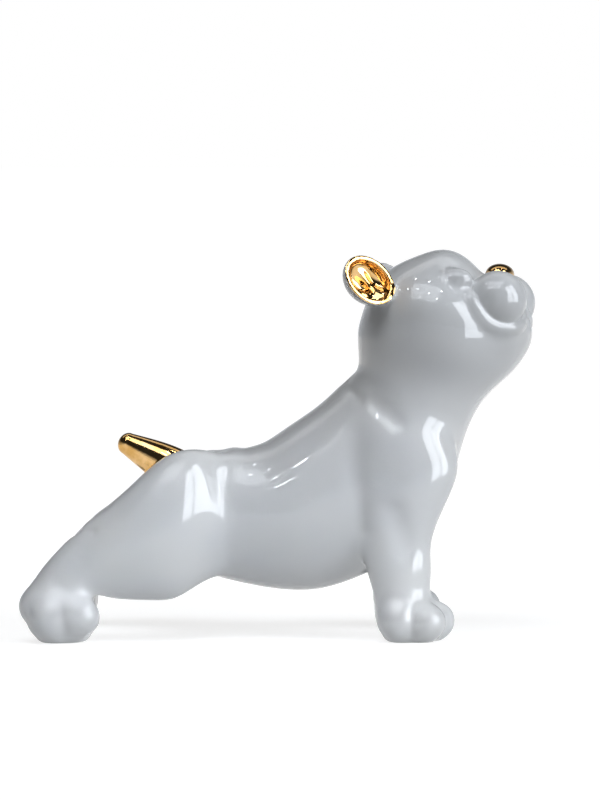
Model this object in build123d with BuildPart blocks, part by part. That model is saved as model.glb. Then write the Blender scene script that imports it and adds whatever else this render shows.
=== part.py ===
from build123d import *
import os
from math import cos, radians, sin

os.makedirs("parts", exist_ok=True)

# Porcelain figure of a stretching puppy, in millimetres.
# X runs from the hind paws to the muzzle, Y to the figure's left, Z up from the shelf.

# Castings
CAST_WALL = 4.0
VENT_DIAMETER = 6.0

# Torso: a barrel along a spine that climbs from the rump to the neck
RUMP_X = -54.0
TORSO_LENGTH = 128.0
NAPE_HEIGHT = 104.5
RIB_DEPTH = 68.0
RIB_WIDTH = 63.0
VENT_ALONG_SHARE = 0.44
# Each row: along the length, up the nape height, tilt in degrees, depth, width
TORSO_SHARES = [
    (0.086, 0.478, 0, 0.618, 0.700),
    (0.281, 0.459, 4, 0.735, 0.857),
    (0.523, 0.483, 22, 0.941, 1.000),
    (0.734, 0.638, 32, 0.997, 0.937),
    (0.793, 0.775, 48, 0.820, 0.890),
    (0.830, 0.914, 65, 0.694, 0.857),
]
RUMP_POLE_SHARE = 0.478

# Head: stacked on the neck seam, with its features turned towards the right side
HEAD_RISE = 54.0
HEAD_DEPTH = 65.6
HEAD_WIDTH = 67.0
HEAD_UPRIGHT = 90.0
HEAD_YAW = 8.0
HEAD_ROLL = 6.0
# Each row: forward by the depth, up by the rise, tilt in degrees, depth, width
HEAD_SHARES = [
    (0.081, 0.194, 75, 0.835, 0.896),
    (0.155, 0.380, 80, 0.963, 0.985),
    (0.195, 0.535, 82, 0.960, 0.990),
]
CROWN_SHARES = (0.125, 0.472)
CROWN_HALF_SIZES = (33.4, 28.0, 28.5)
# The hollow keeps to the rows under the muzzle, drawn in by these shares
HEAD_HOLLOW_SHARES = [1.00, 0.85, 0.45]
HEAD_HOLLOW_TOP_SHARE = 0.72
FEATURE_FORWARD_SHARE = 0.15
FEATURE_UP_SHARE = 0.49

# Muzzle, in the turned frame of the head
FLEW_RADIUS = 10.9
FLEW_PLACE = (24.0, 14.6, 9.0)
BRIDGE_PLACE = (20.0, 0.0, 9.5)
BRIDGE_HALF_SIZES = (11.5, 15.0, 9.0)
EYE_PLACE = (9.4, 20.8, 15.6)
EYE_HALF_SIZES = (5.0, 4.2, 4.0)
NOSE_PLACE = (25.0, 0.0, 18.8)
NOSE_HALF_SIZES = (5.6, 8.6, 4.4)

# Ears: pressed cups with a gilded lining
EAR_PLACE = (-21.6, 31.0, 13.6)
EAR_AXIS = (-0.620, 0.410, 0.660)
EAR_OPENING = (0.645, 0.676, 0.351)
EAR_HALF_SIZES = (12.8, 9.0, 8.0)
EAR_WALL = 2.2
GILDING_THICKNESS = 0.5

# Forelegs, the left one set a little back
FORELEG_X = 48.0
FORELEG_SPREAD = 25.0
FORELEG_HEIGHT = 90.0
FORELEG_DEPTH = 37.0
FORELEG_WIDTH = 26.0
LEFT_FORELEG_BACK = 2.0
# Each row: up the height, forward by the depth, out by the width, depth, width
FORELEG_SHARES = [
    (0.000, 0.081, 0.069, 0.568, 0.731),
    (0.111, 0.027, 0.058, 0.622, 0.846),
    (0.200, -0.008, 0.038, 0.595, 0.808),
    (0.311, -0.041, 0.019, 0.670, 0.846),
    (0.444, -0.054, -0.019, 0.730, 0.923),
    (0.611, 0.014, -0.058, 0.946, 1.000),
    (0.740, 0.040, -0.115, 1.000, 1.000),
    (0.850, -0.040, -0.310, 0.760, 0.760),
]
SHOULDER_SHARES = (0.930, -0.080, -0.500)

# Hind legs, laid back: one limb from the flank along the shank, turned down at the hock
HIND_SPREAD = 24.0
FLANK_X = -12.0
HIND_LENGTH = 73.0
HOCK_HEIGHT = 46.0
THIGH_DEPTH = 51.0
THIGH_WIDTH = 32.0
LEFT_HOCK_TUCK = 4.0
# Each row: back by the length, up by the hock height, out by the width, dip in degrees, depth, width,
# and how much of the left leg's tuck it takes
HIND_SHARES = [
    (0.110, 1.000, -0.260, 0, 0.600, 0.560, 0.0),
    (0.260, 0.978, -0.125, 0, 0.950, 0.890, 0.0),
    (0.411, 0.900, -0.031, 4, 1.000, 1.000, 0.0),
    (0.575, 0.774, 0.031, 8, 0.796, 0.938, 0.0),
    (0.753, 0.685, 0.094, 10, 0.600, 0.750, 0.1),
    (0.885, 0.580, 0.141, 35, 0.439, 0.650, 0.5),
    (0.958, 0.413, 0.172, 65, 0.470, 0.675, 0.9),
    (0.978, 0.217, 0.188, 82, 0.530, 0.725, 1.0),
    (0.973, 0.000, 0.188, 90, 0.400, 0.600, 1.0),
]
FLANK_SHARES = (0.000, 0.980, -0.400, 0.0)

# Toes: each row is forward, out and up from the middle of the paw, then half length, width and height
TOE_RADIUS = 7.4
FORE_TOE_SHARES = [
    (-0.65, 1.00, 0.97, 1.00, 1.05, 1.00),
    (0.80, 1.08, 0.92, 1.00, 1.03, 0.95),
    (1.35, -0.04, 0.95, 0.97, 0.92, 0.95),
    (0.68, -1.15, 0.90, 0.95, 0.87, 0.92),
]
HIND_TOE_SHARES = [
    (-1.28, 0.34, 1.88, 0.86, 0.95, 0.84),
    (-0.70, 0.95, 1.05, 1.05, 1.10, 1.05),
    (0.80, 0.88, 1.28, 1.08, 1.10, 1.03),
    (0.92, -0.27, 1.20, 0.78, 0.95, 1.00),
]

# Tail
TAIL_LENGTH = 18.0
TAIL_RISE_ANGLE = 27.0
TAIL_BASE_DIAMETER = 15.0
TAIL_TIP_DIAMETER = 7.4
TAIL_TIP_ROUND = 3.2
TAIL_ROOT_DEPTH = 6.0
TAIL_HEIGHT = 68.0
TAIL_X = -45.0


def oval(plane, width, depth):
    """A closed smooth oval: the width lies along the plane's x, the depth along its y."""
    points = [
        (width / 2 * cos(radians(turn)), depth / 2 * sin(radians(turn)))
        for turn in range(0, 360, 45)
    ]
    with BuildSketch(plane) as section:
        with BuildLine():
            Spline(points, periodic=True)
        make_face()
    return section.sketch


def spheroid(plane, half_sizes):
    """A unit ball stretched to half sizes along the axes of a plane."""
    return plane * scale(Sphere(1, mode=Mode.PRIVATE), by=half_sizes, mode=Mode.PRIVATE)


def spine_plane(x, z, tilt):
    """The plane of a section across the spine, whose normal climbs by the tilt."""
    climb = radians(tilt)
    return Plane(origin=(x, 0, z), x_dir=(0, 1, 0), z_dir=(cos(climb), 0, sin(climb)))


def torso_sections(wall):
    """The torso's ovals from rump to neck, each drawn in by a wall."""
    sections = []
    for along, up, tilt, depth, width in TORSO_SHARES:
        plane = spine_plane(RUMP_X + along * TORSO_LENGTH, up * NAPE_HEIGHT, tilt)
        sections.append(oval(plane, width * RIB_WIDTH - 2 * wall, depth * RIB_DEPTH - 2 * wall))
    return sections


# Neck seam: the last oval of the torso, which the head stands on
neck_along, neck_up, neck_tilt, neck_depth, neck_width = TORSO_SHARES[-1]
NECK_X = RUMP_X + neck_along * TORSO_LENGTH
NECK_Z = neck_up * NAPE_HEIGHT
neck_plane = spine_plane(NECK_X, NECK_Z, neck_tilt)


def neck_section(wall):
    """The oval of the neck seam, drawn in by a wall."""
    return oval(neck_plane, neck_width * RIB_WIDTH - 2 * wall, neck_depth * RIB_DEPTH - 2 * wall)


def head_plane(forward, up, tilt):
    """The plane of a section of the head, placed from the middle of the neck seam."""
    return spine_plane(NECK_X + forward * HEAD_DEPTH, NECK_Z + up * HEAD_RISE, tilt)


def head_sections():
    """The skull's ovals from the throat to the brow."""
    return [
        oval(head_plane(forward, up, tilt), width * HEAD_WIDTH, depth * HEAD_DEPTH)
        for forward, up, tilt, depth, width in HEAD_SHARES
    ]


def hollow_sections():
    """The ovals of the hollow in the head, which shrinks behind the muzzle."""
    return [
        oval(
            head_plane(forward, up, tilt),
            share * width * HEAD_WIDTH - 2 * CAST_WALL,
            share * depth * HEAD_DEPTH - 2 * CAST_WALL,
        )
        for share, (forward, up, tilt, depth, width) in zip(HEAD_HOLLOW_SHARES, HEAD_SHARES)
    ]


# The turned frame that carries the muzzle, eyes, nose and ears
features = Plane(
    origin=(NECK_X + FEATURE_FORWARD_SHARE * HEAD_DEPTH, 0, NECK_Z + FEATURE_UP_SHARE * HEAD_RISE)
).rotated((-HEAD_ROLL, 0, -HEAD_YAW))


def on_head(place, side=1):
    """A plane at a place in the turned frame: side -1 is the figure's right."""
    forward, out, up = place
    return Plane(
        origin=features.from_local_coords((forward, side * out, up)),
        x_dir=features.x_dir,
        z_dir=features.z_dir,
    )


# Torso: the full form cuts its neighbours, the casting is hollow with an open neck
with BuildPart() as torso_form:
    rump_pole = Vertex(RUMP_X, 0, RUMP_POLE_SHARE * NAPE_HEIGHT)
    loft([rump_pole] + torso_sections(0))

with BuildPart() as torso:
    add(torso_form.part)
    loft(torso_sections(CAST_WALL), mode=Mode.SUBTRACT)
    with BuildSketch(Plane.XY.offset(NECK_Z / 2)):
        with Locations((RUMP_X + VENT_ALONG_SHARE * TORSO_LENGTH, 0)):
            Circle(VENT_DIAMETER / 2)
    extrude(amount=-NECK_Z / 2, mode=Mode.SUBTRACT)

# Head: skull, muzzle bridge, blank eyes and round flews
with BuildPart() as head_form:
    loft([neck_section(0)] + head_sections())
    brow = head_plane(*CROWN_SHARES, HEAD_UPRIGHT)
    add(split(spheroid(brow, CROWN_HALF_SIZES), bisect_by=brow, keep=Keep.TOP, mode=Mode.PRIVATE))
    add(spheroid(on_head(BRIDGE_PLACE), BRIDGE_HALF_SIZES))
    for side in (-1, 1):
        add(spheroid(on_head(EYE_PLACE, side), EYE_HALF_SIZES))
    for side in (-1, 1):
        with Locations(on_head(FLEW_PLACE, side)):
            Sphere(FLEW_RADIUS)

with BuildPart() as head:
    add(head_form.part)
    hollow_top = Vertex(*head_plane(CROWN_SHARES[0], HEAD_HOLLOW_TOP_SHARE, HEAD_UPRIGHT).origin)
    loft([neck_section(CAST_WALL)] + hollow_sections() + [hollow_top], mode=Mode.SUBTRACT)

# Nose pad, seated on the muzzle
with BuildPart() as nose:
    add(spheroid(on_head(NOSE_PLACE), NOSE_HALF_SIZES))
    add(head_form.part, mode=Mode.SUBTRACT)


def ear_plane(side):
    """The plane of an ear's rim: x runs to the tip and z out of the cup."""
    axis = on_head(EAR_AXIS, side).origin - features.origin
    opening = on_head(EAR_OPENING, side).origin - features.origin
    return Plane(origin=on_head(EAR_PLACE, side).origin, x_dir=axis, z_dir=opening)


def ear_hollow(plane, skin):
    """The inside of an ear cup, less a skin on its wall."""
    return spheroid(plane, tuple(half - EAR_WALL - skin for half in EAR_HALF_SIZES))


# Ears: half shells luted to the skull, each with a gilded layer in its cup
with BuildPart() as ear_right:
    add(spheroid(ear_plane(-1), EAR_HALF_SIZES))
    add(ear_hollow(ear_plane(-1), 0), mode=Mode.SUBTRACT)
    split(bisect_by=ear_plane(-1), keep=Keep.BOTTOM)
    add(head_form.part, mode=Mode.SUBTRACT)

with BuildPart() as ear_left:
    add(spheroid(ear_plane(1), EAR_HALF_SIZES))
    add(ear_hollow(ear_plane(1), 0), mode=Mode.SUBTRACT)
    split(bisect_by=ear_plane(1), keep=Keep.BOTTOM)
    add(head_form.part, mode=Mode.SUBTRACT)

with BuildPart() as ear_gilding_right:
    add(ear_hollow(ear_plane(-1), 0))
    add(ear_hollow(ear_plane(-1), GILDING_THICKNESS), mode=Mode.SUBTRACT)
    split(bisect_by=ear_plane(-1), keep=Keep.BOTTOM)
    add(head_form.part, mode=Mode.SUBTRACT)

with BuildPart() as ear_gilding_left:
    add(ear_hollow(ear_plane(1), 0))
    add(ear_hollow(ear_plane(1), GILDING_THICKNESS), mode=Mode.SUBTRACT)
    split(bisect_by=ear_plane(1), keep=Keep.BOTTOM)
    add(head_form.part, mode=Mode.SUBTRACT)


def add_toes(paw, side, rows):
    """Adds round toes about the middle of a paw: side -1 is the figure's right."""
    x, y, sole = paw
    for forward, out, up, length, width, height in rows:
        place = (x + forward * TOE_RADIUS, y + side * out * TOE_RADIUS, sole + up * TOE_RADIUS)
        half_sizes = (length * TOE_RADIUS, width * TOE_RADIUS, height * TOE_RADIUS)
        add(spheroid(Plane(origin=place), half_sizes))


def foreleg_place(side, up, forward, out):
    """A point on the middle line of a foreleg."""
    return (
        FORELEG_X + forward * FORELEG_DEPTH - (LEFT_FORELEG_BACK if side > 0 else 0),
        side * (FORELEG_SPREAD + out * FORELEG_WIDTH),
        up * FORELEG_HEIGHT,
    )


def foreleg_limb(side):
    """The ovals of a foreleg from the sole to the shoulder, and a pole inside the chest."""
    ovals = [
        oval(Plane(origin=foreleg_place(side, up, forward, out)), depth * FORELEG_DEPTH, width * FORELEG_WIDTH)
        for up, forward, out, depth, width in FORELEG_SHARES
    ]
    return ovals + [Vertex(*foreleg_place(side, *SHOULDER_SHARES))]


# Forelegs: shoulder, straight limb and paw, cut to the side of the chest and flat on the shelf
with BuildPart() as foreleg_right:
    loft(foreleg_limb(-1))
    add_toes(foreleg_place(-1, *FORELEG_SHARES[0][:3]), -1, FORE_TOE_SHARES)
    split(bisect_by=Plane.XY, keep=Keep.TOP)
    add(torso_form.part, mode=Mode.SUBTRACT)

with BuildPart() as foreleg_left:
    loft(foreleg_limb(1))
    add_toes(foreleg_place(1, *FORELEG_SHARES[0][:3]), 1, FORE_TOE_SHARES)
    split(bisect_by=Plane.XY, keep=Keep.TOP)
    add(torso_form.part, mode=Mode.SUBTRACT)


def hind_place(side, back, up, out, tuck):
    """A point on the middle line of a hind leg."""
    return (
        FLANK_X - back * HIND_LENGTH + (tuck * LEFT_HOCK_TUCK if side > 0 else 0),
        side * (HIND_SPREAD + out * THIGH_WIDTH),
        up * HOCK_HEIGHT,
    )


def hind_limb(side):
    """The ovals of a hind leg from a pole inside the flank to the sole."""
    ovals = []
    for back, up, out, dip, depth, width, tuck in HIND_SHARES:
        fall = radians(dip)
        plane = Plane(
            origin=hind_place(side, back, up, out, tuck),
            x_dir=(0, 1, 0),
            z_dir=(-cos(fall), 0, -sin(fall)),
        )
        ovals.append(oval(plane, width * THIGH_WIDTH, depth * THIGH_DEPTH))
    return [Vertex(*hind_place(side, *FLANK_SHARES))] + ovals


def hind_paw(side):
    """The middle of a hind paw's sole."""
    back, up, out, dip, depth, width, tuck = HIND_SHARES[-1]
    return hind_place(side, back, up, out, tuck)


# Hind legs: thigh and shank laid back to the hock, and a foot that stands under it
with BuildPart() as hind_leg_right:
    loft(hind_limb(-1))
    add_toes(hind_paw(-1), -1, HIND_TOE_SHARES)
    split(bisect_by=Plane.XY, keep=Keep.TOP)
    add(torso_form.part, mode=Mode.SUBTRACT)

with BuildPart() as hind_leg_left:
    loft(hind_limb(1))
    add_toes(hind_paw(1), 1, HIND_TOE_SHARES)
    split(bisect_by=Plane.XY, keep=Keep.TOP)
    add(torso_form.part, mode=Mode.SUBTRACT)

# Tail: a short tapered cone with a rounded tip, cut to the rump
tail_rise = radians(TAIL_RISE_ANGLE)
tail_root = Plane(origin=(TAIL_X, 0, TAIL_HEIGHT), x_dir=(0, 1, 0), z_dir=(-cos(tail_rise), 0, sin(tail_rise)))
with BuildPart() as tail:
    with BuildSketch(tail_root.offset(-TAIL_ROOT_DEPTH)):
        Circle(TAIL_BASE_DIAMETER / 2)
    with BuildSketch(tail_root.offset(TAIL_LENGTH)):
        Circle(TAIL_TIP_DIAMETER / 2)
    loft()
    tip = faces().sort_by(Axis(tail_root.origin, tail_root.z_dir))[-1]
    fillet(tip.edges(), radius=TAIL_TIP_ROUND)
    add(torso_form.part, mode=Mode.SUBTRACT)

pieces = {
    "torso": torso,
    "head": head,
    "nose": nose,
    "ear_right": ear_right,
    "ear_left": ear_left,
    "ear_gilding_right": ear_gilding_right,
    "ear_gilding_left": ear_gilding_left,
    "foreleg_right": foreleg_right,
    "foreleg_left": foreleg_left,
    "hind_leg_right": hind_leg_right,
    "hind_leg_left": hind_leg_left,
    "tail": tail,
}
for name, piece in pieces.items():
    piece.part.label = name
    export_step(piece.part, f"parts/{name}.step")
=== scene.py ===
# %% [markdown]
# # A porcelain puppy, stretching
# The object is a shelf ornament: a white glazed porcelain puppy with its chest raised and its hind
# legs laid back. Its tail, nose and ear linings are gilded. The construction model gives the pieces
# and their places. This lesson gives them the soft, glazed skin of the real thing.

# %% Load the frame
import math

import bpy
import numpy as np
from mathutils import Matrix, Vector


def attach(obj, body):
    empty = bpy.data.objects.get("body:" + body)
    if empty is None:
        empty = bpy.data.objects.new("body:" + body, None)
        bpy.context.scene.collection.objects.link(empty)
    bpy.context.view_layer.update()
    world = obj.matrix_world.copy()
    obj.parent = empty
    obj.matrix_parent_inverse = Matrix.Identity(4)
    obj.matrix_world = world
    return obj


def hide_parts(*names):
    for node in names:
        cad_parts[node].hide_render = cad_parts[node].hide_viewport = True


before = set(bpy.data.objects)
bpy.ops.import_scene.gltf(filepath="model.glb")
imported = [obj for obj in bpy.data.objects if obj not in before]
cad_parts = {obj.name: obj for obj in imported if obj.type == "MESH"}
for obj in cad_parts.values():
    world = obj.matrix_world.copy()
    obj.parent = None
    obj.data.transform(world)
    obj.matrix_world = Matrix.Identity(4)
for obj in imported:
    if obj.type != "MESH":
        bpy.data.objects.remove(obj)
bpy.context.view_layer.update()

MM = 0.001
print("nodes:", sorted(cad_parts))

# %% [markdown]
# ## Camera
# The photograph was taken from the right side, a little above the shelf, from far enough away that
# the far feet hide behind the near ones. So a long lens stands three metres off. The figure is
# 200 mm long and covers 516 of the picture's 600 pixels, which sets the lens.

# %% Camera
PICTURE_WIDTH_PX = 600
FIGURE_LENGTH_PX = 516
FIGURE_LENGTH = 200.0
CAMERA_DISTANCE = 3000.0
CAMERA_RISE = math.radians(4.3)
CAMERA_TARGET = Vector((8.5, 0.0, 90.9))
SENSOR_WIDTH = 36.0

camera = bpy.data.objects.new("camera", bpy.data.cameras.new("camera"))
bpy.context.scene.collection.objects.link(camera)
away = Vector((0.0, -math.cos(CAMERA_RISE), math.sin(CAMERA_RISE)))
camera.location = (CAMERA_TARGET + CAMERA_DISTANCE * away) * MM
camera.rotation_euler = (-away).to_track_quat("-Z", "Y").to_euler()
camera.data.sensor_fit = "HORIZONTAL"
camera.data.sensor_width = SENSOR_WIDTH
seen_width = FIGURE_LENGTH * PICTURE_WIDTH_PX / FIGURE_LENGTH_PX
camera.data.lens = SENSOR_WIDTH * CAMERA_DISTANCE / seen_width
camera.data.clip_end = 20.0
bpy.context.scene.camera = camera
print("lens:", round(camera.data.lens), "mm")

# %% [markdown]
# ## Modelling with a field
# Slip casting rounds every join, so the skin has no edges where leg meets body. Polygons pushed
# together would show a crease there. Instead the whole figure is written as one *field*: a function
# of a point that is negative inside the porcelain, zero on its skin and positive outside. Forms
# then melt together by blending their fields, and the skin is found afterwards.


# %% Field tools: ball, blend and carve
def ellipsoid(p, centre, radii, axes=None):
    """Field of an ellipsoid: with q the offset over the radii, |q| (|q| - 1) over |q / radii|."""
    d = p - np.asarray(centre)
    if axes is not None:
        d = d @ axes.T
    q = d / np.asarray(radii)
    reach = np.sqrt((q * q).sum(1)) + 1e-9
    slope = np.sqrt(((q / np.asarray(radii)) ** 2).sum(1)) + 1e-9
    return reach * (reach - 1.0) / slope


def blend(a, b, radius):
    """Smooth union: the lower field, less a cubic where the two differ by less than the radius."""
    near = np.maximum(radius - np.abs(a - b), 0.0) / radius
    return np.minimum(a, b) - near**3 * radius / 6.0


def carve(a, b, radius):
    """Smooth cut: what is in a and not in b, with a rounded edge."""
    return -blend(-a, b, radius)


def inside_box(p, low, high, field, margin=18.0):
    """A field worked out only near its form: further than the margin from its box, a distance does."""
    low, high = np.asarray(low) - margin, np.asarray(high) + margin
    beyond = np.maximum(np.maximum(low - p, p - high), 0.0)
    value = margin + np.sqrt((beyond * beyond).sum(1))
    close = np.flatnonzero(value <= margin)
    value[close] = field(p[close])
    return value


def ridge(p, start, end, width):
    """A soft stroke from start to end: 1 on the segment and a bell curve of its distance away."""
    start, end = np.asarray(start, float), np.asarray(end, float)
    run = end - start
    along = np.clip(((p - start) @ run) / (run @ run), 0.0, 1.0)
    gap = p - start - along[:, None] * run
    return np.exp(-(gap * gap).sum(1) / width**2)


probe = np.array([[10.0, 0.0, 0.0]])
ball = ellipsoid(probe, (0.0, 0.0, 0.0), (4.0, 4.0, 4.0))
print("field of a 4 mm ball, 10 mm from its middle:", ball.round(2))

# %% [markdown]
# ## Limbs
# A barrel, neck or leg is an oval carried along a bent path. A few rows give the path's points, the
# heading of the section and its half depth and half width, and a cubic spline joins the rows. To
# find the field at a point, Newton's method slides along the path until the section plane passes
# through the point.

# %% Field tools: limb
NEWTON_STEPS = 4
SLOWEST_PACE = 2.0


def spline_rows(rows):
    """Natural cubic spline through rows: the four coefficients of each span."""
    y = np.asarray(rows, float)
    n = len(y)
    system = np.eye(n)
    right = np.zeros_like(y)
    for i in range(1, n - 1):
        system[i, i - 1 : i + 2] = (1.0, 4.0, 1.0)
        right[i] = 6.0 * (y[i - 1] - 2.0 * y[i] + y[i + 1])
    bend = np.linalg.solve(system, right)
    a, b = y[:-1], y[1:] - y[:-1] - (2.0 * bend[:-1] + bend[1:]) / 6.0
    return np.stack([a, b, bend[:-1] / 2.0, (bend[1:] - bend[:-1]) / 6.0])


def spline_at(spans, t):
    """Value and slope of the spline at each t, where whole numbers are the rows."""
    i = np.clip(t.astype(int), 0, spans.shape[1] - 1)
    s = (t - i)[:, None]
    a, b, c, d = spans[:, i]
    return ((d * s + c) * s + b) * s + a, (3.0 * d * s + 2.0 * c) * s + b


def limb(p, rows, caps):
    """Field of an oval along a path. Rows: x, y, z, heading in degrees, half depth, half width."""
    rows = np.array(rows, float)
    reach = np.maximum(rows[:, 4:].max(1), max(caps))[:, None]
    low, high = (rows[:, :3] - reach).min(0), (rows[:, :3] + reach).max(0)
    rows[:, 3] = np.radians(rows[:, 3])
    return inside_box(p, low, high, lambda q: limb_near(q, rows, caps))


def limb_near(p, rows, caps):
    """The limb's field by Newton's method, for points in its neighbourhood."""
    spans = spline_rows(rows)
    last = len(rows) - 1.0
    guesses = np.linspace(0.0, last, 3 * len(rows))
    path = spline_at(spans, guesses)[0][:, :3]
    far = (p * p).sum(1)[:, None] - 2.0 * p @ path.T + (path * path).sum(1)
    t = guesses[far.argmin(1)]
    for _ in range(NEWTON_STEPS):
        v, dv = spline_at(spans, t)
        cos, sin = np.cos(v[:, 3]), np.sin(v[:, 3])
        d = p - v[:, :3]
        ahead = d[:, 0] * cos + d[:, 2] * sin
        up = d[:, 2] * cos - d[:, 0] * sin
        pace = dv[:, 0] * cos + dv[:, 2] * sin - dv[:, 3] * up
        t = np.clip(t + ahead / np.maximum(pace, SLOWEST_PACE), 0.0, last)
    v = spline_at(spans, t)[0]
    cos, sin = np.cos(v[:, 3]), np.sin(v[:, 3])
    d = p - v[:, :3]
    ahead = d[:, 0] * cos + d[:, 2] * sin
    up = d[:, 2] * cos - d[:, 0] * sin
    cap = np.where(t < last / 2.0, caps[0], caps[1])
    ahead = np.where((t <= 0.0) | (t >= last), ahead, 0.0)
    q = np.stack([up / v[:, 4], d[:, 1] / v[:, 5], ahead / cap], 1)
    slope = np.stack([up / v[:, 4] ** 2, d[:, 1] / v[:, 5] ** 2, ahead / cap**2], 1)
    reach = np.sqrt((q * q).sum(1)) + 1e-9
    return reach * (reach - 1.0) / (np.sqrt((slope * slope).sum(1)) + 1e-9)


straight = [(x, 0.0, 0.0, 0.0, 5.0, 5.0) for x in (0.0, 10.0, 20.0)]
beside = limb(np.array([[10.0, 9.0, 0.0]]), straight, (5.0, 5.0))
print("field of a 5 mm limb, 9 mm from its path:", beside.round(2))

# %% [markdown]
# ## Body and legs
# The rows below were chosen against the photograph, in millimetres. The left legs mirror the right
# ones, so a point's y is flipped before it is measured against a right leg. The photograph hides the
# left legs, so the left paws are set inwards and the left thigh is a little lower.

# %% Body and legs
TORSO_ROWS = [
    (-43.0, 0.0, 48.0, 0.0, 20.5, 23.0),
    (-20.0, 0.0, 46.7, 2.0, 25.5, 25.5),
    (-1.0, 0.0, 45.3, 14.0, 29.0, 30.0),
    (13.5, 0.0, 49.7, 20.0, 31.8, 32.0),
    (29.2, 0.0, 58.2, 27.0, 33.0, 32.0),
    (41.8, 0.0, 69.2, 36.0, 32.2, 30.5),
    (48.7, 0.0, 82.3, 48.0, 27.1, 29.0),
    (52.3, 0.0, 92.0, 60.0, 24.4, 28.5),
    (56.4, 0.0, 102.5, 69.0, 26.4, 29.5),
    (61.8, 0.0, 112.0, 75.5, 29.4, 30.5),
    (64.0, 0.0, 122.0, 80.0, 26.0, 28.0),
]
TORSO_CAPS = (12.0, 14.0)
FORELEG_ROWS = [
    (51.0, -26.8, 3.0, 90.0, 10.5, 9.5),
    (49.0, -26.5, 10.0, 90.0, 11.5, 11.0),
    (47.7, -26.0, 18.0, 90.0, 11.0, 10.5),
    (46.5, -25.5, 28.0, 90.0, 12.4, 11.0),
    (46.0, -24.5, 40.0, 90.0, 13.5, 12.0),
    (48.3, -23.8, 55.0, 90.0, 17.2, 13.0),
    (50.6, -22.2, 68.0, 90.0, 18.5, 13.0),
    (48.5, -19.0, 80.0, 90.0, 16.0, 11.5),
    (47.0, -12.0, 91.0, 90.0, 11.0, 9.0),
]
FORELEG_CAPS = (5.0, 7.0)
FORE_TOES = [
    ((46.0, -34.3, 8.2), (7.4, 7.8, 7.4)),
    ((57.0, -34.8, 7.8), (7.4, 7.6, 7.0)),
    ((61.0, -26.5, 7.8), (7.0, 6.8, 7.0)),
    ((56.0, -18.0, 7.6), (7.0, 6.4, 6.8)),
]
HIND_LEG_ROWS = [
    (-7.0, -4.0, 49.0, 180.0, 14.0, 6.0),
    (-19.0, -12.0, 48.3, 180.0, 21.0, 10.0),
    (-31.0, -19.5, 47.0, 180.0, 26.2, 14.6),
    (-42.0, -23.0, 43.2, 184.0, 27.2, 16.4),
    (-54.0, -25.0, 37.4, 188.0, 22.1, 15.4),
    (-67.0, -27.0, 32.4, 192.0, 16.2, 12.4),
    (-77.0, -28.5, 27.0, 215.0, 11.3, 10.4),
    (-82.3, -29.5, 19.0, 245.0, 12.2, 10.8),
    (-83.6, -30.0, 10.0, 262.0, 13.6, 11.6),
    (-83.0, -30.0, 3.0, 270.0, 9.5, 9.0),
]
HIND_LEG_CAPS = (7.0, 5.0)
HIND_TOES = [
    ((-92.6, -32.5, 14.0), (6.4, 7.0, 6.2)),
    ((-88.0, -36.8, 9.0), (7.8, 8.2, 7.8)),
    ((-77.0, -36.3, 10.4), (8.4, 8.2, 7.6)),
    ((-76.0, -28.0, 9.0), (5.6, 7.0, 7.4)),
]
# The left legs: how far a paw is set inwards, and the x and z over which that starts
LEFT_FOREPAW_TUCK = -4.5
FORE_TUCK_ALONG, FORE_TUCK_HEIGHT = (46.0, 60.0), (75.0, 20.0)
LEFT_HIND_PAW_TUCK = 6.0
HIND_TUCK_ALONG = (-66.0, -92.0)
HEEL_SHARE, HEEL_ALONG, HEEL_HEIGHT = 0.5, (-82.0, -72.0), (26.0, 12.0)
LEFT_THIGH_DROP, THIGH_DROP_HEIGHT = 0.10, (20.0, 60.0)
TOE_BLEND = 2.5
PAW_BLEND = 8.0


def paw_limb(p, rows, caps, toes):
    """A leg with its toes: toes blend with each other tightly, then with the leg."""
    paw = ellipsoid(p, *toes[0])
    for toe in toes[1:]:
        paw = blend(paw, ellipsoid(p, *toe), TOE_BLEND)
    return blend(limb(p, rows, caps), paw, PAW_BLEND)


def right_side(p):
    """Mirrors the left half onto the right, where y is negative."""
    return p * np.where(p[:, 1:2] > 0.0, np.array([1.0, -1.0, 1.0]), 1.0)


def torso_field(p):
    return limb(p, TORSO_ROWS, TORSO_CAPS)


def ramp(value, start, end):
    """A smooth step: 0 at start, 1 at end, flat at both."""
    share = np.clip((value - start) / (end - start), 0.0, 1.0)
    return share * share * (3.0 - 2.0 * share)


def tucked(p, reach, tuck):
    """Moves points on the left back along x, so that the form there shifts by tuck where reach is 1."""
    shift = np.where(p[:, 1] > 0.0, tuck * reach, 0.0)
    return p - shift[:, None] * np.array([1.0, 0.0, 0.0])


def foreleg_field(p):
    reach = ramp(p[:, 2], *FORE_TUCK_HEIGHT) * ramp(p[:, 0], *FORE_TUCK_ALONG)
    near = right_side(tucked(p, reach, LEFT_FOREPAW_TUCK))
    return paw_limb(near, FORELEG_ROWS, FORELEG_CAPS, FORE_TOES)


def hind_leg_field(p):
    heel = HEEL_SHARE * ramp(p[:, 0], *HEEL_ALONG) * ramp(p[:, 2], *HEEL_HEIGHT)
    reach = ramp(p[:, 0], *HIND_TUCK_ALONG) - heel
    near = right_side(tucked(p, reach, LEFT_HIND_PAW_TUCK))
    drop = LEFT_THIGH_DROP * ramp(p[:, 2], *THIGH_DROP_HEIGHT)
    near[:, 2] = near[:, 2] * np.where(p[:, 1] > 0.0, 1.0 + drop, 1.0)
    return paw_limb(near, HIND_LEG_ROWS, HIND_LEG_CAPS, HIND_TOES)


print("rows:", len(TORSO_ROWS), "torso,", len(FORELEG_ROWS), "foreleg,", len(HIND_LEG_ROWS), "hind leg")

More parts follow.
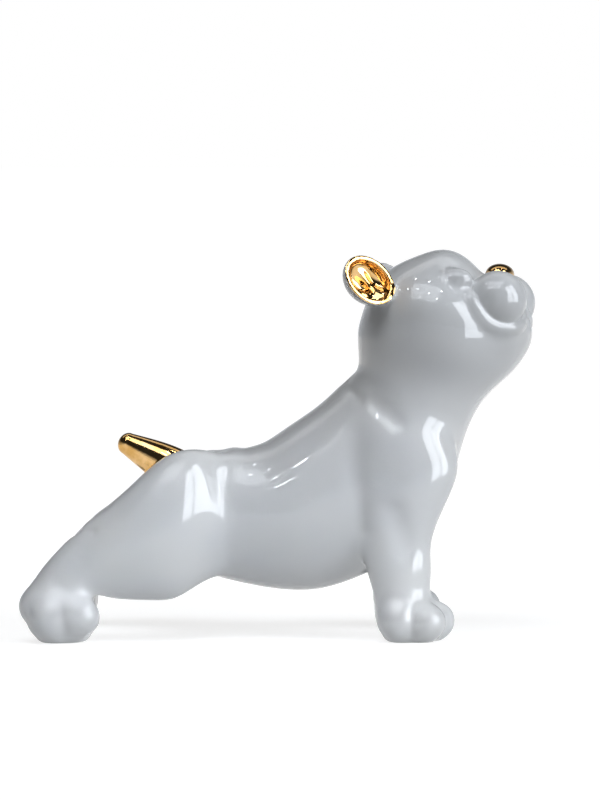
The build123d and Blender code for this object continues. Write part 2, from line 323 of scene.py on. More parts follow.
# %% [markdown]
# ## Head
# The head looks a little to the figure's right and tips that way, so its features live in a turned
# frame: x to the muzzle, y to the left, z to the crown. The upper lip hangs as two round flews in a
# bowl that the lower jaw makes, which gives the smile.

# %% Head
HEAD_ORIGIN = np.array([62.0, 0.0, 121.0])
HEAD_REACH = 38.0
HEAD_YAW, HEAD_ROLL = math.radians(8.0), math.radians(6.0)
yaw = np.array([
    [math.cos(HEAD_YAW), math.sin(HEAD_YAW), 0.0],
    [-math.sin(HEAD_YAW), math.cos(HEAD_YAW), 0.0],
    [0.0, 0.0, 1.0],
])
roll = np.array([
    [1.0, 0.0, 0.0],
    [0.0, math.cos(HEAD_ROLL), math.sin(HEAD_ROLL)],
    [0.0, -math.sin(HEAD_ROLL), math.cos(HEAD_ROLL)],
])
HEAD_TURN = yaw @ roll

SKULL = ((-2.0, 0.0, 1.3), (26.0, 32.0, 24.5))
# Each form that blends onto the skull: its middle, its radii and its blend radius
HEAD_FORMS = {
    "forehead": ((2.2, 0.0, 13.7), (12.4, 20.0, 14.0), 8.0),
    "jaw": ((15.4, 0.0, -3.8), (21.0, 23.0, 14.6), 9.0),
    "cheek": ((4.0, -18.0, -3.0), (15.0, 12.0, 14.0), 8.0),
    "bridge": ((19.0, 0.0, 8.8), (11.5, 15.0, 9.0), 5.0),
}
FLEW_PLACE, FLEW_RADIUS, FLEW_BLEND = np.array([24.8, -14.8, 8.4]), 11.2, 1.2
LIP_OFFSET, LIP_STAND_OUT, LIP_THICKNESS, LIP_BLEND = 1.8, 0.4, 2.1, 2.5
LIP_SINK, LIP_SINK_HEIGHT = 7.0, (0.5, 9.0)
EYE_PLACE, EYE_RADII, EYE_BLEND = (9.4, -20.8, 16.0), (6.0, 4.2, 4.0), 4.5
EYE_CREASE = [(8.6, -25.4, 11.6), (15.6, -14.6, 15.4)]
CREASE_DEPTH, CREASE_WIDTH = 0.7, 2.0
NOSE = ((23.8, 0.0, 18.8), (5.6, 8.6, 4.2))


def head_point(p):
    """A world point in the head's turned frame."""
    return (p - HEAD_ORIGIN) @ HEAD_TURN


def lip_field(h, skull, flew):
    """The lower lip: a tube along the line where a sphere round the flew meets the skull.

    The tube sinks away towards the upper end of the flew.
    """
    tube = np.sqrt((flew - LIP_OFFSET) ** 2 + (skull - LIP_STAND_OUT) ** 2) - LIP_THICKNESS
    return tube + LIP_SINK * ramp(h[:, 2] - FLEW_PLACE[2], *LIP_SINK_HEIGHT)


def head_field(p):
    return inside_box(p, HEAD_ORIGIN - HEAD_REACH, HEAD_ORIGIN + HEAD_REACH, head_near)


def head_near(p):
    h = right_side(head_point(p))
    skull = ellipsoid(h, *SKULL)
    for middle, radii, radius in HEAD_FORMS.values():
        skull = blend(skull, ellipsoid(h, middle, radii), radius)
    skull = skull + CREASE_DEPTH * ridge(h, *EYE_CREASE, CREASE_WIDTH)
    flew = ellipsoid(h, FLEW_PLACE, np.full(3, FLEW_RADIUS))
    skull = blend(skull, lip_field(h, skull, flew), LIP_BLEND)
    skull = blend(skull, flew, FLEW_BLEND)
    return blend(skull, ellipsoid(h, EYE_PLACE, EYE_RADII), EYE_BLEND)


def nose_field(p):
    h = right_side(head_point(p))
    return ellipsoid(h, *NOSE)


print("right flew at", (HEAD_ORIGIN + HEAD_TURN @ FLEW_PLACE).round(1), "mm")

# %% [markdown]
# ## Ears and tail
# An ear is a pressed cup: half an ellipsoid, hollowed, with two folds on its floor that catch the
# light in the gold. The tail is a short cone with a round tip, which the limb's field makes as well.

# %% Ears and tail
EAR_PLACE = np.array([-22.7, -31.4, 15.0])
EAR_AXIS = np.array([-0.62, -0.41, 0.66])
EAR_OPENING = np.array([0.560, -0.750, 0.351])
EAR_RADII = np.array([11.2, 9.6, 9.8])
EAR_WALL = 2.0
RIM_ROUND, HOLLOW_ROUND = 1.6, 1.0
EAR_FOLDS = [((-7.5, 0.0, -4.0), (6.0, -3.5, -6.0)), ((-6.0, 2.0, -5.0), (4.0, 5.0, -4.5))]
FOLD_HEIGHT, FOLD_WIDTH = 2.4, 2.2
TAIL_ROWS = [
    (-36.0, 0.0, 61.5, 153.0, 8.6, 8.6),
    (-45.6, 0.0, 67.2, 152.0, 7.4, 7.4),
    (-58.4, 0.0, 74.0, 152.0, 4.3, 4.3),
]
TAIL_CAPS = (4.0, 3.6)

opening = EAR_OPENING / np.linalg.norm(EAR_OPENING)
axis = EAR_AXIS - opening * (EAR_AXIS @ opening)
axis = axis / np.linalg.norm(axis)
EAR_AXES = np.stack([axis, np.cross(opening, axis), opening])


def ear_hollow(p):
    """The inside of the ear cup, with two folds that rise from its floor."""
    h = right_side(head_point(p))
    hollow = ellipsoid(h, EAR_PLACE, EAR_RADII - EAR_WALL, EAR_AXES)
    local = (h - EAR_PLACE) @ EAR_AXES.T
    for start, end in EAR_FOLDS:
        hollow = hollow + FOLD_HEIGHT * ridge(local, start, end, FOLD_WIDTH)
    return hollow


def ear_field(p):
    """The ear cup: half an ellipsoid, cut by its rim plane and hollowed."""
    h = right_side(head_point(p))
    outside = ellipsoid(h, EAR_PLACE, EAR_RADII, EAR_AXES)
    above_rim = (h - EAR_PLACE) @ EAR_AXES[2]
    return carve(carve(outside, -above_rim, RIM_ROUND), ear_hollow(p), HOLLOW_ROUND)


def tail_field(p):
    return limb(p, TAIL_ROWS, TAIL_CAPS)


print("ear opens along", opening.round(2), "in the head's frame")

# %% [markdown]
# ## The skin
# All fields blend into one. The blend radius is wide where clay was smoothed in by hand, at the
# thighs and shoulders, and narrow at the ears, nose and tail.

# %% The skin
BLENDS = {
    "head": 14.0, "foreleg": 10.0, "hind_leg": 11.0, "ear": 4.0, "nose": 0.8, "tail": 1.5, "shelf": 1.0,
}
# Each stroke: its depth, its width and the points it runs through, on the right side
STROKES = {
    "shoulder_rear": (1.5, 4.5, [(28.5, -31.0, 80.0), (30.5, -31.5, 60.0), (33.0, -29.0, 44.0)]),
    "elbow": (1.8, 5.0, [(44.5, -37.0, 50.0), (49.5, -36.5, 37.0)]),
    "nape": (1.0, 2.6, [(26.0, -4.0, 98.0), (31.0, -20.0, 93.0)]),
    "neck_roll": (1.0, 3.4, [(33.0, -24.0, 96.0), (45.0, -30.0, 85.0)]),
    "loin": (0.6, 3.0, [(-13.0, 0.0, 73.0), (-13.0, -14.0, 71.0)]),
    "croup": (0.6, 3.0, [(-22.0, 0.0, 73.0), (-23.0, -15.0, 69.0)]),
    "flank": (0.9, 4.0, [(-21.7, -25.0, 65.0), (-17.8, -28.0, 46.0), (-20.5, -26.0, 31.0)]),
    "calf": (1.0, 2.6, [(-78.0, -26.0, 41.0), (-70.5, -34.0, 42.0)]),
    "hock": (1.9, 4.5, [(-83.0, -39.0, 24.0), (-76.0, -39.0, 31.0)]),
}


def modelling(p):
    """Depth of the shallow strokes that the modelling tool left between the muscles."""
    near = right_side(p)
    depth = np.zeros(len(p))
    for strength, width, points in STROKES.values():
        strokes = [ridge(near, a, b, width) for a, b in zip(points[:-1], points[1:])]
        depth = depth + strength * np.max(strokes, 0)
    return depth


def skin_field(p):
    """The whole figure, cut flat by the shelf."""
    body = blend(torso_field(p), head_field(p), BLENDS["head"])
    body = blend(body, foreleg_field(p), BLENDS["foreleg"])
    body = blend(body, hind_leg_field(p), BLENDS["hind_leg"]) + modelling(p)
    body = blend(body, ear_field(p), BLENDS["ear"])
    body = blend(body, nose_field(p), BLENDS["nose"])
    body = blend(body, tail_field(p), BLENDS["tail"])
    return -blend(-body, p[:, 2], BLENDS["shelf"])


print("strokes:", ", ".join(STROKES))

# %% [markdown]
# ## From field to mesh
# *Surface nets* turn a field into quads. Every grid cell that the skin crosses gets one vertex, at
# the mean of the points where the cell's edges cross it, and every crossed grid edge joins its four
# cells with a quad. The field is only worked out near the skin, which a coarse grid finds first.

# %% From field to mesh
CELL = 0.8
COARSE = 3
NEAR_SKIN_CELLS = 2.4
GRID_LOW = np.array([-105.0, -51.0, -3.0])
GRID_HIGH = np.array([105.0, 51.0, 154.0])


def in_chunks(function, p, size=40000):
    """A field over many points, a chunk at a time to save memory."""
    return np.concatenate([function(p[i : i + size]) for i in range(0, len(p), size)])


def field_grid(function):
    """Field values on the fine grid: exact near the skin, interpolated elsewhere."""
    blocks = np.ceil((GRID_HIGH - GRID_LOW) / (CELL * COARSE)).astype(int)
    coarse_axes = [GRID_LOW[k] + CELL * COARSE * np.arange(blocks[k] + 1) for k in range(3)]
    points = np.stack(np.meshgrid(*coarse_axes, indexing="ij"), -1).reshape(-1, 3)
    values = in_chunks(function, points).reshape(blocks + 1)
    for k in range(3):
        low = np.take(values, np.arange(blocks[k]), k)
        high = np.take(values, np.arange(1, blocks[k] + 1), k)
        steps = [low + (high - low) * s / COARSE for s in range(COARSE)]
        fine = np.stack(steps, k + 1)
        shape = list(values.shape)
        shape[k] = blocks[k] * COARSE
        values = np.concatenate([fine.reshape(shape), np.take(values, [blocks[k]], k)], k)
    near = np.argwhere(np.abs(values) < NEAR_SKIN_CELLS * CELL)
    values[tuple(near.T)] = in_chunks(function, GRID_LOW + CELL * near)
    return values


def surface_net(values):
    """Vertices and quads of the zero surface of a grid of field values."""
    inside = values < 0.0
    cells = np.array(values.shape) - 1
    count = sum(
        inside[x : x + cells[0], y : y + cells[1], z : z + cells[2]].astype(np.int8)
        for x in (0, 1) for y in (0, 1) for z in (0, 1)
    )
    active = np.argwhere((count > 0) & (count < 8))
    index = np.full(cells, -1)
    index[tuple(active.T)] = np.arange(len(active))
    total, hits = np.zeros((len(active), 3)), np.zeros(len(active))
    corners = np.array([(x, y, z) for x in (0, 1) for y in (0, 1) for z in (0, 1)])
    for a in corners:
        for k in range(3):
            if a[k] == 0:
                b = a.copy()
                b[k] = 1
                fa, fb = values[tuple((active + a).T)], values[tuple((active + b).T)]
                crossed = (fa < 0.0) != (fb < 0.0)
                share = fa / np.where(crossed, fa - fb, 1.0)
                total += np.where(crossed, 1.0, 0.0)[:, None] * (a + share[:, None] * (b - a))
                hits += crossed
    vertices = GRID_LOW + CELL * (active + total / hits[:, None])
    quads = []
    for k in range(3):
        u, v = (k + 1) % 3, (k + 2) % 3
        step = np.eye(3, dtype=int)
        here = np.take(inside, np.arange(cells[k]), k)
        there = np.take(inside, np.arange(1, cells[k] + 1), k)
        at = np.argwhere(here != there)
        at = at[(at[:, u] > 0) & (at[:, v] > 0) & (at[:, u] < cells[u]) & (at[:, v] < cells[v])]
        ring = [at - step[u] - step[v], at - step[v], at, at - step[u]]
        quad = np.stack([index[tuple(r.T)] for r in ring], 1)
        outward = here[tuple(at.T)]
        quads.append(np.where(outward[:, None], quad, quad[:, ::-1]))
    return vertices, np.concatenate(quads)


def gradient(function, p, step=0.05):
    """Slope of a field by central differences."""
    shifts = np.eye(3) * step
    sides = [in_chunks(function, p + s) - in_chunks(function, p - s) for s in shifts]
    return np.stack(sides, 1) / (2.0 * step)


def onto_skin(function, p, step=0.02):
    """A Newton step along the slope, by forward differences, that brings points to the zero surface."""
    value = in_chunks(function, p)
    slope = np.stack([in_chunks(function, p + s) - value for s in np.eye(3) * step], 1) / step
    move = value[:, None] * slope / ((slope * slope).sum(1)[:, None] + 1e-9)
    return p - np.clip(move, -CELL / 2.0, CELL / 2.0)


def relax(p, faces, share):
    """Moves each vertex by a share of the way to the mean of its neighbours."""
    edges = np.concatenate([faces[:, [k, (k + 1) % faces.shape[1]]] for k in range(faces.shape[1])])
    edges = np.concatenate([edges, edges[:, ::-1]])
    n = np.bincount(edges[:, 0], minlength=len(p))
    mean = np.stack([np.bincount(edges[:, 0], p[edges[:, 1], k], len(p)) / n for k in range(3)], 1)
    return p + share * (mean - p)


print("grid cell:", CELL, "mm")

# %% [markdown]
# ## Skin mesh
# The net's vertices lie close to the skin, unevenly spaced. Each round moves them towards their
# neighbours and then back onto the skin, so that reflections run smoothly over it.

# %% Skin mesh
RELAX_ROUNDS, RELAX_SHARE = 2, 0.5
skin, quads = surface_net(field_grid(skin_field))
skin = onto_skin(skin_field, skin)
for _ in range(RELAX_ROUNDS):
    skin = onto_skin(skin_field, relax(skin, quads, RELAX_SHARE))
triangles = np.concatenate([quads[:, [0, 1, 2]], quads[:, [0, 2, 3]]])
print("skin:", len(skin), "vertices,", len(triangles), "triangles")

# %% [markdown]
# ## Seams
# The real figure is luted together from castings, so each casting is a piece here too. A seam is a
# second function whose zero line is drawn on the skin, such as leg field less body field. Triangles
# that cross the line are split on it, and then every triangle belongs to exactly one casting.

# %% Seams
NECK_SEAM = np.array([52.2, 0.0, 95.5])
NECK_TILT = math.radians(65.0)
GOLD_EDGE, GOLD_OVER_RIM = 1.8, 2.0


def neck_seam(p):
    """Height above the neck seam's plane."""
    d = p - NECK_SEAM
    return d[:, 0] * math.cos(NECK_TILT) + d[:, 2] * math.sin(NECK_TILT)


def foreleg_seam(p):
    return foreleg_field(p) - torso_field(p)


def hind_leg_seam(p):
    return hind_leg_field(p) - torso_field(p)


def tail_seam(p):
    return tail_field(p) - np.minimum(torso_field(p), hind_leg_field(p))


def nose_seam(p):
    return nose_field(p) - head_field(p)


def ear_seam(p):
    return ear_field(p) - head_field(p)


def gilding_seam(p):
    """The lining of the ear: the cup's hollow and most of its rim."""
    h = right_side(head_point(p))
    above_rim = (h - EAR_PLACE) @ EAR_AXES[2]
    return np.maximum(ear_hollow(p) - GOLD_EDGE, above_rim - GOLD_OVER_RIM)


def cut_along(p, faces, seam):
    """Splits each triangle that the seam's zero line crosses, so that the line follows edges."""
    g = in_chunks(seam, p)
    g = np.where(np.abs(g) < 1e-6, 1e-6, g)
    positive = (g > 0.0)[faces]
    crossed = positive.any(1) & ~positive.all(1)
    positive = positive[crossed]
    lone = np.where(positive.sum(1) == 1, positive.argmax(1), positive.argmin(1))
    turn = (lone[:, None] + np.arange(3)) % 3
    a, b, c = np.take_along_axis(faces[crossed], turn, 1).T
    edges = np.sort(np.concatenate([np.stack([a, b], 1), np.stack([a, c], 1)]), 1)
    edges, which = np.unique(edges, axis=0, return_inverse=True)
    start, end = edges.T
    share = (g[start] / (g[start] - g[end]))[:, None]
    ab, ac = len(p) + which.reshape(2, -1)
    parts = [np.stack([a, ab, ac], 1), np.stack([ab, b, c], 1), np.stack([ab, c, ac], 1)]
    p = np.concatenate([p, p[start] + share * (p[end] - p[start])])
    return p, np.concatenate([faces[~crossed]] + parts)


SEAMS = [foreleg_seam, hind_leg_seam, neck_seam, tail_seam, nose_seam, ear_seam, gilding_seam]
for seam in SEAMS:
    skin, triangles = cut_along(skin, triangles, seam)
print("after the seams:", len(triangles), "triangles")

# %% [markdown]
# ## Which casting each triangle belongs to
# After the cuts, a triangle lies on one side of every seam, so the signs at its middle name its
# casting. Later gifts win: the lining takes its triangles from the ear, and the ear from the head.

# %% Which casting each triangle belongs to
LEG_DIVIDE_X = 15.0
TAIL_FRONT_X = -30.0
middle = skin[triangles].mean(1)
right = middle[:, 1] < 0.0
above_neck = neck_seam(middle) > 0.0
casting = np.where(above_neck, "head", "torso").astype("<U20")


def give(name, mask):
    """Gives the triangles in a mask to the right and left castings of a name, or to one casting."""
    if "{}" in name:
        casting[mask & right] = name.format("right")
        casting[mask & ~right] = name.format("left")
    else:
        casting[mask] = name


give("foreleg_{}", ~above_neck & (foreleg_seam(middle) < 0.0) & (middle[:, 0] > LEG_DIVIDE_X))
give("hind_leg_{}", ~above_neck & (hind_leg_seam(middle) < 0.0) & (middle[:, 0] < LEG_DIVIDE_X))
give("tail", (tail_seam(middle) < 0.0) & (middle[:, 0] < TAIL_FRONT_X))
give("nose", nose_seam(middle) < 0.0)
give("ear_{}", ear_seam(middle) < 0.0)
give("ear_gilding_{}", gilding_seam(middle) < 0.0)
names, counts = np.unique(casting, return_counts=True)
for name, count in zip(names, counts):
    print(" ", name, count, "triangles")

# %% [markdown]
# ## Closing the castings
# Cutting leaves each casting open along its seams. An open edge loop is closed by a fan of
# triangles to its middle, inside the figure. The gold lining is too thin for that: it gets a back
# face a little under its front, and the ear takes that back face as the floor of its cup.

# %% Closing the castings
GOLD_SKIN = 0.4
slopes = gradient(skin_field, skin)
outward = slopes / (np.sqrt((slopes * slopes).sum(1))[:, None] + 1e-9)


def open_edges(faces):
    """Directed edges that no face runs along the other way."""
    edges = np.concatenate([faces[:, [0, 1]], faces[:, [1, 2]], faces[:, [2, 0]]])
    size = faces.max() + 1
    there, back = edges[:, 0] * size + edges[:, 1], edges[:, 1] * size + edges[:, 0]
    return edges[~np.isin(there, back)]


def loops_of(edges):
    """One number per edge that is the same all round a loop: the lowest vertex in it."""
    label = np.arange(edges.max() + 1)
    while True:
        low = np.minimum(label[edges[:, 0]], label[edges[:, 1]])
        spread = label.copy()
        np.minimum.at(spread, edges[:, 0], low)
        np.minimum.at(spread, edges[:, 1], low)
        if (spread == label).all():
            return label[edges[:, 0]]
        label = spread


def fan_caps(p, faces):
    """Points and triangles that close each open loop with a fan to its mean."""
    edges = open_edges(faces)
    if len(edges) == 0:
        return np.zeros((0, 3)), np.zeros((0, 3), int)
    which = np.unique(loops_of(edges), return_inverse=True)[1]
    n = np.bincount(which)
    mean = np.stack([np.bincount(which, p[edges[:, 0], k]) / n for k in range(3)], 1)
    return mean, np.stack([edges[:, 1], edges[:, 0], len(p) + which], 1)


def new_piece(name, p, faces, normals, material):
    """A mesh object from points in millimetres, with the field's slope as its corner normals."""
    used, small = np.unique(faces, return_inverse=True)
    small = small.reshape(-1, 3)
    mesh = bpy.data.meshes.new(name)
    mesh.vertices.add(len(used))
    mesh.vertices.foreach_set("co", (p[used] * MM).ravel())
    mesh.loops.add(small.size)
    mesh.loops.foreach_set("vertex_index", small.ravel().astype(np.int32))
    mesh.polygons.add(len(small))
    mesh.polygons.foreach_set("loop_start", np.arange(0, small.size, 3, dtype=np.int32))
    mesh.update(calc_edges=True)
    mesh.shade_smooth()
    mesh.normals_split_custom_set(normals.reshape(-1, 3))
    mesh.materials.append(material)
    piece = bpy.data.objects.new(name, mesh)
    bpy.context.scene.collection.objects.link(piece)
    return piece


def corner_normals(p, faces, capped, slopes):
    """Field slopes at the corners of skin faces, and flat normals on the caps."""
    corners = slopes[np.minimum(faces, len(slopes) - 1)]
    a, b, c = (p[faces[capped][:, k]] for k in range(3))
    flat = np.cross(b - a, c - a)
    flat = flat / (np.sqrt((flat * flat).sum(1))[:, None] + 1e-12)
    corners[capped] = flat[:, None, :]
    return corners


print("gold layer:", GOLD_SKIN, "mm")

# %% [markdown]
# ## Finishes
# Two finishes cover the figure: a clear glaze over white porcelain, and gold lustre, a film of real
# gold fired on at the end. One function turns the written sRGB colours into the linear values that
# the shader wants, and one adds a node with its settings and links.

# %% Finishes
def linear(code):
    """An sRGB hex colour as linear RGBA: below 0.04045 over 12.92, else ((v + 0.055) / 1.055) ** 2.4."""
    v = np.array([int(code[i : i + 2], 16) / 255.0 for i in (1, 3, 5)])
    v = np.where(v <= 0.04045, v / 12.92, ((v + 0.055) / 1.055) ** 2.4)
    return (*v.tolist(), 1.0)


def add_node(tree, kind, inputs=None, **settings):
    """Adds a node. An input that is a socket is linked, any other is set."""
    new = tree.nodes.new(kind)
    for name, value in settings.items():
        setattr(new, name, value)
    for name, value in (inputs or {}).items():
        if isinstance(value, bpy.types.NodeSocket):
            tree.links.new(value, new.inputs[name])
        else:
            new.inputs[name].default_value = value
    return new


def new_material(name):
    """A material with an empty node tree, and that tree."""
    material = bpy.data.materials.new(name)
    material.use_nodes = True
    material.node_tree.nodes.clear()
    return material, material.node_tree


def waves_per_metre(size_mm):
    """The scale that gives a noise texture features of a size in millimetres."""
    return 1.0 / (size_mm * MM)


def noise(tree, size_mm, detail):
    """A noise over the object's own place, with features of a size."""
    place = add_node(tree, "ShaderNodeTexCoord").outputs["Object"]
    inputs = {"Vector": place, "Scale": waves_per_metre(size_mm), "Detail": detail}
    return add_node(tree, "ShaderNodeTexNoise", inputs).outputs["Fac"]


def drifting_colour(tree, size_mm, detail, low, high):
    """A colour that drifts between two, over patches of a size."""
    ramp_node = add_node(tree, "ShaderNodeValToRGB", {"Fac": noise(tree, size_mm, detail)})
    for stop, position, code in zip(ramp_node.color_ramp.elements, (0.35, 0.65), (low, high)):
        stop.position = position
        stop.color = linear(code)
    return ramp_node.outputs["Color"]


def ripple(tree, size_mm, detail, strength, depth_mm):
    """A normal that waves by a depth, over ripples of a size."""
    inputs = {"Height": noise(tree, size_mm, detail), "Strength": strength, "Distance": depth_mm * MM}
    return add_node(tree, "ShaderNodeBump", inputs).outputs["Normal"]


# Glazed porcelain: white body under a clear glaze, poured and fired, which stays faintly rippled
GLAZE, tree = new_material("glazed_porcelain")
glaze_shader = add_node(tree, "ShaderNodeBsdfPrincipled", {
    "Base Color": drifting_colour(tree, 40.0, 2.0, "#E3E5E7", "#E9EAEA"),
    "Roughness": 0.035,
    "IOR": 1.52,
    "Normal": ripple(tree, 9.0, 1.0, 0.25, 0.25),
})
add_node(tree, "ShaderNodeOutputMaterial", {"Surface": glaze_shader.outputs["BSDF"]})

# Gold lustre: a brushed-on film of gold, mirror bright, thinner and browner where the brush lifted
GOLD, tree = new_material("gold_lustre")
gold_shader = add_node(tree, "ShaderNodeBsdfPrincipled", {
    "Base Color": drifting_colour(tree, 6.0, 3.0, "#CFA25E", "#E6C08A"),
    "Metallic": 1.0,
    "Roughness": 0.09,
    "Normal": ripple(tree, 3.0, 2.0, 0.35, 0.2),
})
add_node(tree, "ShaderNodeOutputMaterial", {"Surface": gold_shader.outputs["BSDF"]})
print("finishes:", GLAZE.name, GOLD.name)

# %% [markdown]
# ## Pieces
# Each casting becomes one closed mesh, named for the node that it stands for. Its corner normals
# are the slope of the shared field, so glaze runs over the seams without a line.

# %% Pieces
GOLD_PIECES = ("tail", "nose", "ear_gilding_right", "ear_gilding_left")
depth = GOLD_SKIN * np.clip(-in_chunks(gilding_seam, skin) / GOLD_SKIN, 0.0, 1.0)
points = np.concatenate([skin, skin - depth[:, None] * outward])
point_slopes = np.concatenate([outward, outward])


def underside(faces):
    """The same triangles at the back of the gold, joined to the front along the open edge."""
    return np.where(np.isin(faces, open_edges(faces)), faces, faces + len(skin))


for name in sorted(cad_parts):
    faces = triangles[casting == name]
    gold = name in GOLD_PIECES
    if name.startswith("ear_gilding"):
        mean, caps = np.zeros((0, 3)), underside(faces)[:, ::-1]
    else:
        if name.startswith("ear_"):
            lining = triangles[casting == name.replace("ear_", "ear_gilding_")]
            faces = np.concatenate([faces, underside(lining)])
        mean, caps = fan_caps(points, faces)
    capped = np.arange(len(faces) + len(caps)) >= len(faces)
    faces = np.concatenate([faces, caps])
    shape = np.concatenate([points, mean])
    normals = corner_normals(shape, faces, capped, point_slopes)
    piece = new_piece("skin_" + name, shape, faces, normals, GOLD if gold else GLAZE)
    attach(piece, "root")
    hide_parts(name)
    print(" ", piece.name, len(piece.data.polygons), "triangles")

# %% [markdown]
# ## Shelf
# The photograph has a white ground. The shelf and the world are white to the camera and to mirrored
# rays, through Light Path, and dimmer to the light that falls on the figure. So the ground stays
# white without brightening the porcelain, and the shelf still takes the figure's shadow.

# %% Shelf
STUDIO_WHITE = linear("#FFFFFF")
ROOM_SHADE = linear("#45403B")
SHELF_HALF = 4.0


def upright(start, end, low, high):
    """Corners of an upright card over a line on the ground, in metres."""
    return [(*start, low), (*end, low), (*end, high), (*start, high)]


def level(x0, y0, x1, y1, z):
    """Corners of a level card, in metres."""
    return [(x0, y0, z), (x1, y0, z), (x1, y1, z), (x0, y1, z)]


def add_stage(name, corners, material):
    """A flat stage card from four corners in metres."""
    mesh = bpy.data.meshes.new(name)
    mesh.from_pydata(corners, [], [(0, 1, 2, 3)])
    mesh.materials.append(material)
    card = bpy.data.objects.new(name, mesh)
    bpy.context.scene.collection.objects.link(card)
    return card


def combine(tree, operation, a, b):
    """One value from two by a math node."""
    return add_node(tree, "ShaderNodeMath", {0: a, 1: b}, operation=operation).outputs[0]


def seen_directly(tree):
    """1 for camera, mirrored and transmitted rays, else 0."""
    path = add_node(tree, "ShaderNodeLightPath").outputs
    mirrored = combine(tree, "MAXIMUM", path["Is Camera Ray"], path["Is Glossy Ray"])
    return combine(tree, "MAXIMUM", mirrored, path["Is Transmission Ray"])


def fade(tree, value, span, ends, **settings):
    """A value that goes from one end to the other as the input crosses the span."""
    inputs = {"Value": value, "From Min": span[0], "From Max": span[1], "To Min": ends[0], "To Max": ends[1]}
    return add_node(tree, "ShaderNodeMapRange", inputs, **settings).outputs[0]


SHELF, tree = new_material("shelf_white")
spot = add_node(tree, "ShaderNodeTexCoord").outputs["Object"]
away_from = add_node(tree, "ShaderNodeVectorMath", {0: spot}, operation="LENGTH").outputs["Value"]
plain = add_node(tree, "ShaderNodeBsdfDiffuse", {"Color": fade(tree, away_from, (0.12, 0.5), (0.5, 0.1))})
lift = combine(tree, "MULTIPLY", seen_directly(tree), fade(tree, away_from, (0.10, 0.35), (0.78, 1.0)))
glow = add_node(tree, "ShaderNodeEmission", {"Color": STUDIO_WHITE, "Strength": lift})
both = add_node(tree, "ShaderNodeAddShader", {0: plain.outputs[0], 1: glow.outputs[0]})
add_node(tree, "ShaderNodeOutputMaterial", {"Surface": both.outputs[0]})
add_stage("shelf", level(-SHELF_HALF, -SHELF_HALF, SHELF_HALF, SHELF_HALF, 0.0), SHELF)

world = bpy.data.worlds.new("studio")
bpy.context.scene.world = world
world.use_nodes = True
tree = world.node_tree
tree.nodes.clear()
room = add_node(tree, "ShaderNodeValToRGB", {"Fac": seen_directly(tree)})
room.color_ramp.elements[0].color = ROOM_SHADE
room.color_ramp.elements[1].color = STUDIO_WHITE
ground = add_node(tree, "ShaderNodeBackground", {"Color": room.outputs["Color"]})
add_node(tree, "ShaderNodeOutputWorld", {"Surface": ground.outputs[0]})
print("shelf:", 2.0 * SHELF_HALF, "m wide")

# %% [markdown]
# ## Light
# Daylight comes from a tall window to the right, and a soft panel overhead stands for the rest of
# it. A low, narrow beam brightens the legs and belly, as in the photograph.

# %% Light
DAYLIGHT = linear("#F4F9FF")
AIM = (0.0, 0.0, 0.07)
WINDOW_SIZE, WINDOW_WATTS = (0.40, 0.80), 4.2


def add_lamp(name, place, aim, size, watts, spread=180.0, mirrored=True):
    """A rectangular lamp at a place in metres, aimed at a point, with a beam as wide as the spread."""
    lamp = bpy.data.objects.new(name, bpy.data.lights.new(name, "AREA"))
    lamp.data.shape = "RECTANGLE"
    lamp.data.size, lamp.data.size_y = size
    lamp.data.energy = watts
    lamp.data.spread = math.radians(spread)
    lamp.data.color = DAYLIGHT[:3]
    lamp.location = place
    lamp.rotation_euler = (Vector(aim) - Vector(place)).to_track_quat("-Z", "Y").to_euler()
    lamp.visible_glossy = mirrored
    bpy.context.scene.collection.objects.link(lamp)


add_lamp("sky_panel", (-0.18, -0.48, 1.32), AIM, size=(1.0, 0.8), watts=7.8)
add_lamp("low_panel", (-0.02, -0.80, 0.03), (-0.02, 0.0, 0.03), size=(0.6, 0.05), watts=0.062, spread=16.0,
         mirrored=False)
add_lamp("window_left_light", (1.20, -0.30, 0.50), AIM, WINDOW_SIZE, WINDOW_WATTS, mirrored=False)
add_lamp("window_right_light", (1.02, -0.75, 0.50), AIM, WINDOW_SIZE, WINDOW_WATTS, mirrored=False)

# %% [markdown]
# ## Reflections
# Glaze and gold show the room: the window's two panes, small ceiling lamps as bright dots, and walls
# that darken towards the ceiling, which give the gold its brown depths. These cards are seen by
# mirrored rays alone, so they don't add to the light on the figure.

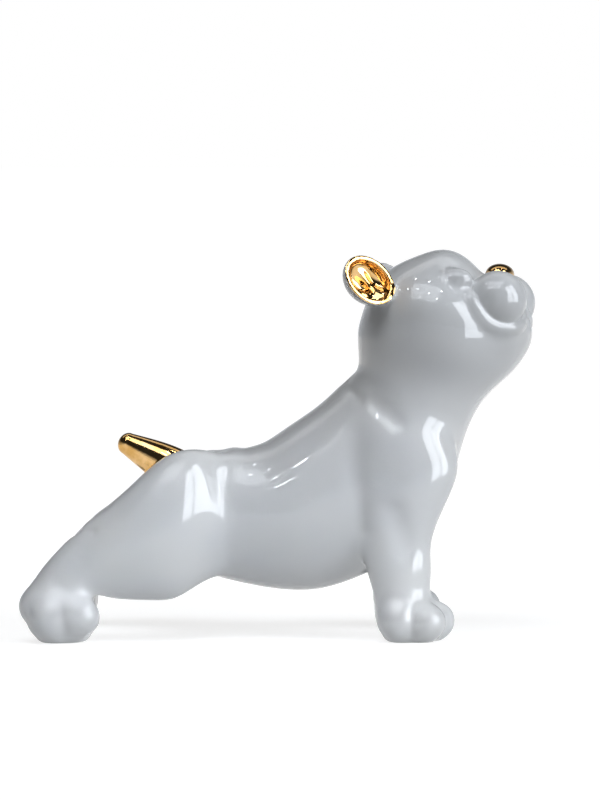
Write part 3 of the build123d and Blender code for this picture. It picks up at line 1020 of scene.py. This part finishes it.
# %% Reflections
WINDOW_GLOW, LAMP_GLOW, WALL_GLOW = 8.0, 30.0, 0.75
CEILING_SHADE, SHADE_HEIGHT = 0.03, 1.1
HALF_LAMP, LAMP_HEIGHT = 0.045, 1.9
LAMP_PLACES = [
    (-1.5, -1.6), (-1.3, -0.8), (-1.1, -0.1), (-0.9, -1.9), (-0.7, -1.1), (-0.6, -0.4), (-0.3, -1.5),
    (-0.1, -0.8), (0.0, 0.0), (0.3, -1.2), (0.5, -0.5), (0.7, 0.3), (0.9, -1.6), (-0.5, 0.4),
]
PANE_LOW, PANE_HIGH = 0.02, 1.5
ROOM_HALF, ROOM_FRONT, ROOM_BACK, ROOM_HEIGHT = 2.4, -4.0, 2.0, 2.4
CEILING_BACK = 1.0


def add_reflections(name, strength, cards, shaded=False):
    """Glowing cards that only mirrored rays see. Shaded ones dim with height."""
    material, tree = new_material(name)
    if shaded:
        spot = add_node(tree, "ShaderNodeTexCoord").outputs["Object"]
        height = add_node(tree, "ShaderNodeSeparateXYZ", {0: spot}).outputs["Z"]
        ends = (strength, CEILING_SHADE)
        strength = fade(tree, height, (0.0, SHADE_HEIGHT), ends, interpolation_type="SMOOTHSTEP")
    glow = add_node(tree, "ShaderNodeEmission", {"Color": DAYLIGHT, "Strength": strength})
    add_node(tree, "ShaderNodeOutputMaterial", {"Surface": glow.outputs[0]})
    for number, corners in enumerate(cards):
        card = add_stage(f"{name}_{number}", corners, material)
        card.visible_camera = False
        card.visible_diffuse = False
        card.visible_shadow = False
    print(" ", name, len(cards), "cards")


add_reflections("window_pane", WINDOW_GLOW, [
    upright((1.15, -0.51), (1.25, -0.09), PANE_LOW, PANE_HIGH),
    upright((0.89, -0.93), (1.15, -0.57), PANE_LOW, PANE_HIGH),
])
add_reflections("ceiling_lamp", LAMP_GLOW, [
    level(x - HALF_LAMP, y - HALF_LAMP, x + HALF_LAMP, y + HALF_LAMP, LAMP_HEIGHT) for x, y in LAMP_PLACES
])
near_left, near_right = (-ROOM_HALF, ROOM_FRONT), (ROOM_HALF, ROOM_FRONT)
far_left, far_right = (-ROOM_HALF, ROOM_BACK), (ROOM_HALF, ROOM_BACK)
WALLS = [(near_left, near_right), (near_left, far_left), (near_right, far_right), (far_left, far_right)]
room_cards = [upright(start, end, 0.0, ROOM_HEIGHT) for start, end in WALLS]
room_cards.append(level(-ROOM_HALF, ROOM_FRONT, ROOM_HALF, CEILING_BACK, ROOM_HEIGHT))
add_reflections("dim_room", WALL_GLOW, room_cards, shaded=True)
bpy.context.scene.view_settings.view_transform = "Standard"
